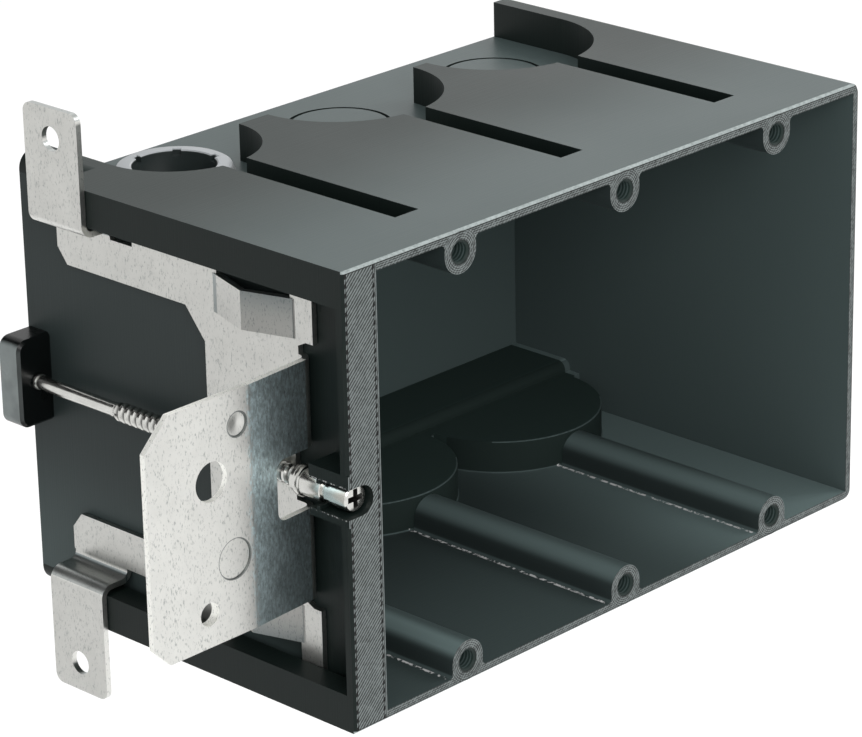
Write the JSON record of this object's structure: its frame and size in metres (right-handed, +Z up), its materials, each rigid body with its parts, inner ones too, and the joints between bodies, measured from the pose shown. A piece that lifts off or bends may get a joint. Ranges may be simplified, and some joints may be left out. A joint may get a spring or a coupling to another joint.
{
  "type": "three-gang electrical box",
  "caption": "Deep plastic wall box for side-by-side devices, with cored screw bosses and cable knockouts, on a folded steel stud bracket that a long screw moves to set its depth.",
  "frame": {"origin": "centre of the device-screw pattern, on the plane of the front rim", "axes": "+X across the gangs, away from the bracket; +Y from the front opening into the wall; +Z up"},
  "size_m": [0.1864, 0.097, 0.123],
  "materials": {
    "box_plastic": "satin dark grey, with the fine lines of printed layers",
    "galvanised_sheet": "galvanised",
    "screw_steel": "zinc plated",
    "black_plastic": "glossy black",
    "grey_plastic": "light grey"
  },
  "bodies": {
    "bracket": {"stud_bracket": "galvanised_sheet"},
    "box": {"gang_box": "box_plastic", "tail_block": "black_plastic", "cable_bushing": "grey_plastic"},
    "screw": {"adjusting_screw": "screw_steel"}
  },
  "joints": [
    {"name": "box_slide", "type": "slide", "parent": "bracket", "child": "box", "axis": [0, -1, 0], "range_m": [0, 0.038]},
    {"name": "screw_turn", "type": "hinge", "parent": "box", "child": "screw", "pos_m": [-0.0734, 0.01, 0.0006], "axis": [0, -1, 0], "range_deg": [0, 7820]}
  ],
  "couplings": [
    {"joint": "screw_turn", "follows": "box_slide", "rad_per_m": 3590.4}
  ]
}
